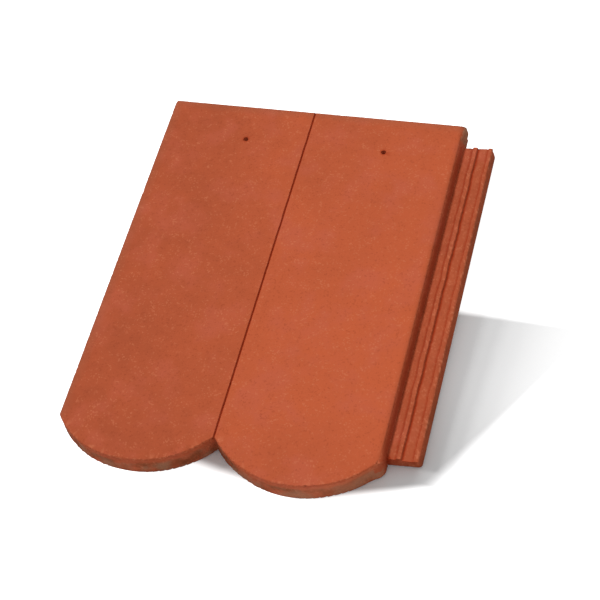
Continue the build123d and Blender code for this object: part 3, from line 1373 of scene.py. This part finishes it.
    def weather(self, casting: bmesh.types.BMesh) -> None:
        """Give the surface its cast relief and note on its points how the coat looks there.

        Args:
            casting: The mesh, in millimetres of the own frame.
        """
        casting.normal_update()
        rules = self.colouring.rules
        layers = [casting.verts.layers.float.new(rule.__name__) for rule in rules]
        moves = []
        for vertex in casting.verts:
            zone = self.form.zone(vertex.co, vertex.normal)
            for layer, rule in zip(layers, rules):
                vertex[layer] = rule(zone, vertex)
            moves.append(self.unevenness.move(zone, vertex))
        for vertex, move in zip(casting.verts, moves):
            vertex.co += move

    def to_object(self, casting: bmesh.types.BMesh) -> bpy.types.Object:
        """Put the casting back in the row's frame as a smooth-shaded object.

        Args:
            casting: The mesh, in millimetres of the own frame.

        Returns:
            The object, in metres of the row's frame.
        """
        casting.transform(self.own.to_row)
        for face in casting.faces:
            face.smooth = True
        mesh = bpy.data.meshes.new("tile_casting")
        casting.to_mesh(mesh)
        casting.free()
        piece = bpy.data.objects.new("tile_casting", mesh)
        bpy.context.scene.collection.objects.link(piece)
        return piece


@dataclass(frozen=True)
class PhotoCamera:
    """The camera at the photograph's viewing angle.

    Attributes:
        place: Where it stands, in metres.
        right: The direction of the picture's right side.
        upward: The direction of the picture's top.
        lens: Focal length in millimetres.
        sensor: Width of the sensor in millimetres.
    """

    place: tuple[float, float, float] = (0.405995, -0.719568, 1.139708)
    right: tuple[float, float, float] = (0.952525, 0.254927, -0.166457)
    upward: tuple[float, float, float] = (-0.121594, 0.819761, 0.559649)
    lens: float = 89.8037
    sensor: float = 36.0

    def build(self) -> None:
        """Add the camera and make it the scene's."""
        right = Vector(self.right).normalized()
        upward = (Vector(self.upward) - right * right.dot(Vector(self.upward))).normalized()
        back = right.cross(upward)
        data = bpy.data.cameras.new("photo_camera")
        data.lens = self.lens
        data.sensor_width = self.sensor
        camera = bpy.data.objects.new("photo_camera", data)
        turn = Matrix((right, upward, back)).transposed().to_4x4()
        camera.matrix_world = Matrix.Translation(self.place) @ turn
        bpy.context.scene.collection.objects.link(camera)
        bpy.context.scene.camera = camera
        log.info("photo_camera: lens %.1f mm", self.lens)


@dataclass(frozen=True)
class Lamp:
    """A soft distant lamp.

    Attributes:
        name: The lamp's name.
        strength: Its strength.
        direction: Direction from the tile to the lamp.
        spread: How wide the lamp looks from the tile, in degrees.
    """

    name: str
    strength: float
    direction: tuple[float, float, float]
    spread: float

    def build(self, lit: bpy.types.Object) -> None:
        """Hang the lamp and let it light one piece alone.

        Args:
            lit: The piece that the lamp lights.
        """
        data = bpy.data.lights.new(self.name, "SUN")
        data.energy = self.strength
        data.angle = math.radians(self.spread)
        lamp = bpy.data.objects.new(self.name, data)
        lamp.rotation_euler = Vector(self.direction).to_track_quat("Z", "Y").to_euler()
        bpy.context.scene.collection.objects.link(lamp)
        receivers = bpy.data.collections.new(f"lit_by_{self.name}")
        receivers.objects.link(lit)
        lamp.light_linking.receiver_collection = receivers
        log.info("%s: lights %s", self.name, lit.name)


@dataclass(frozen=True)
class PaintedShadowEdge:
    """A straight edge on the floor, past which painted white covers the tile's cast shadow.

    Attributes:
        outward: Direction square to the edge, away from the shadow.
        begins: Where the white begins to rise along that direction, in metres.
        ends: Where it has risen, in metres.
    """

    outward: tuple[float, float, float]
    begins: float
    ends: float


@dataclass(frozen=True)
class Studio:
    """A white floor in an even white surround, with one lamp for the tile and three for the floor.

    Attributes:
        tile_lamp: The high lamp from the upper left that lights the tile.
        floor_lamps: The lamps from the left that light the floor and draw the tile's long soft shadow.
        floor_half: Half the floor's side in metres.
        floor_white: How white the floor is.
        floor_lift: Plain white that the floor adds in the camera's view, so that it meets the backdrop.
        foot_painted_shade_lift: The same beside the tile's foot, kept lower there so that its shadow is
            painted deeper.
        foot_painted_shade_fade: Where, up the slope in metres, the foot's lift begins to rise and where it
            is the floor's, so that the painted shade fades out.
        painted_white_lift: Painted light past the shadow's edges, a white that covers the cast shadow
            there.
        painted_shadow_edges: Where painted white cuts the shadow off: beside the tile's upper half, on its
            far side, at its foot, in the notch and on the left.
        surround: Strength of the surround's light.
    """

    tile_lamp: Lamp = Lamp("tile_lamp", 2.07, (-0.34, 0.40, 0.85), 14.0)
    floor_lamps: tuple[Lamp, ...] = (
        Lamp("floor_lamp_low", 4.1, (-0.978, 0.0, 0.208), 9.0),
        Lamp("floor_lamp_middle", 1.7, (-0.946, 0.0, 0.326), 9.0),
        Lamp("floor_lamp_high", 0.8, (-0.850, 0.050, 0.530), 12.0),
    )
    floor_half: float = 6.0
    floor_white: float = 0.93
    floor_lift: float = 0.12
    # Painted shade on the floor: less white beside the tile's foot deepens its shadow there.
    foot_painted_shade_lift: float = 0.0
    foot_painted_shade_fade: tuple[float, float] = (-0.17, -0.05)
    # Painted light on the floor: camera-ray white past the edges that covers the tile's cast shadow.
    painted_white_lift: float = 0.85
    painted_shadow_edges: tuple[PaintedShadowEdge, ...] = (
        PaintedShadowEdge((0.0, 1.0, 0.0), 0.003, 0.014),
        PaintedShadowEdge((0.844, -0.536, 0.0), 0.230, 0.250),
        PaintedShadowEdge((0.275, -0.961, 0.0), 0.206, 0.215),
        PaintedShadowEdge((-0.200, -0.980, 0.0), 0.178, 0.190),
        PaintedShadowEdge((-1.0, 0.0, 0.0), 0.100, 0.140),
    )
    surround: float = 0.46

    def build(self, tile: bpy.types.Object) -> None:
        """Add the floor, the surround and the lamps.

        Args:
            tile: The dressed tile.
        """
        self.tile_lamp.build(tile)
        floor = self.floor()
        for lamp in self.floor_lamps:
            lamp.build(floor)
        self.world()
        bpy.context.scene.view_settings.view_transform = "Standard"

    def floor(self) -> bpy.types.Object:
        """Lay the floor under the tile.

        Returns:
            The floor.
        """
        half = self.floor_half
        mesh = bpy.data.meshes.new("floor")
        corners = [(-half, -half, 0.0), (half, -half, 0.0), (half, half, 0.0), (-half, half, 0.0)]
        mesh.from_pydata(corners, [], [(0, 1, 2, 3)])
        piece = bpy.data.objects.new("floor", mesh)
        bpy.context.scene.collection.objects.link(piece)
        material = bpy.data.materials.new("white_floor")
        material.use_nodes = True
        tree = material.node_tree
        tree.nodes.clear()
        output = tree.nodes.new("ShaderNodeOutputMaterial")
        paper = tree.nodes.new("ShaderNodeBsdfDiffuse")
        paper.inputs["Color"].default_value = (self.floor_white, self.floor_white, self.floor_white, 1.0)
        glow = tree.nodes.new("ShaderNodeEmission")
        rays = tree.nodes.new("ShaderNodeLightPath")
        lift = tree.nodes.new("ShaderNodeMath")
        lift.operation = "MULTIPLY"
        both = tree.nodes.new("ShaderNodeAddShader")
        # Painted light and shade on the floor: extra white past the shadow's edges, less beside the foot.
        tree.links.new(self.painted_floor_white(tree), lift.inputs[1])
        tree.links.new(rays.outputs["Is Camera Ray"], lift.inputs[0])
        tree.links.new(lift.outputs["Value"], glow.inputs["Strength"])
        tree.links.new(paper.outputs["BSDF"], both.inputs[0])
        tree.links.new(glow.outputs["Emission"], both.inputs[1])
        tree.links.new(both.outputs["Shader"], output.inputs["Surface"])
        mesh.materials.append(material)
        return piece

    def painted_floor_white(self, tree: Tree) -> Socket:
        """Add how much plain white the floor shows at a place: painted white past the shadow's edges covers
        the cast shadow, and less white beside the foot paints the shadow deeper.

        Args:
            tree: The floor's node tree.

        Returns:
            The socket with the white's strength.
        """
        up_the_slope = PaintedShadowEdge((0.0, 1.0, 0.0), *self.foot_painted_shade_fade)
        most = self.lift(tree, up_the_slope, self.floor_lift)
        for edge in self.painted_shadow_edges:
            larger = tree.nodes.new("ShaderNodeMath")
            larger.operation = "MAXIMUM"
            tree.links.new(self.lift(tree, edge, self.painted_white_lift), larger.inputs[0])
            tree.links.new(most, larger.inputs[1])
            most = larger.outputs["Value"]
        return most

    def lift(self, tree: Tree, edge: PaintedShadowEdge, most: float) -> Socket:
        """Add a white that rises across one straight edge.

        Args:
            tree: The floor's node tree.
            edge: The edge, with where the rise begins and ends.
            most: The white's strength past the edge.

        Returns:
            The socket with the white's strength.
        """
        reach = tree.nodes.new("ShaderNodeVectorMath")
        reach.operation = "DOT_PRODUCT"
        reach.inputs[1].default_value = edge.outward
        tree.links.new(tree.nodes.new("ShaderNodeTexCoord").outputs["Object"], reach.inputs[0])
        share = tree.nodes.new("ShaderNodeMapRange")
        share.interpolation_type = "SMOOTHSTEP"
        share.inputs["From Min"].default_value = edge.begins
        share.inputs["From Max"].default_value = edge.ends
        share.inputs["To Min"].default_value = self.foot_painted_shade_lift
        share.inputs["To Max"].default_value = most
        tree.links.new(reach.outputs["Value"], share.inputs["Value"])
        return share.outputs["Result"]

    def world(self) -> None:
        """Give an even surround that looks white behind the tile."""
        world = bpy.data.worlds.new("surround")
        world.use_nodes = True
        tree = world.node_tree
        tree.nodes.clear()
        output = tree.nodes.new("ShaderNodeOutputWorld")
        background = tree.nodes.new("ShaderNodeBackground")
        background.inputs["Color"].default_value = (1.0, 1.0, 1.0, 1.0)
        rays = tree.nodes.new("ShaderNodeLightPath")
        level = tree.nodes.new("ShaderNodeMapRange")
        level.inputs["To Min"].default_value = self.surround
        level.inputs["To Max"].default_value = 1.0
        tree.links.new(rays.outputs["Is Camera Ray"], level.inputs["Value"])
        tree.links.new(level.outputs["Result"], background.inputs["Strength"])
        tree.links.new(background.outputs["Background"], output.inputs["Surface"])
        bpy.context.scene.world = world


def main() -> None:
    """Build the camera, the studio and the tile."""
    logging.basicConfig(level=logging.INFO, format="%(name)s: %(message)s")
    PhotoCamera().build()
    form = TileForm()
    own = OwnFrame.from_nail_hole(frame["record"], form.left_hole_centre)
    tile = RoofTile(own, ConcreteFinish(), form, Unevenness(form), Colouring(form))
    Studio().build(tile.build())


if __name__ == "__main__":
    main()
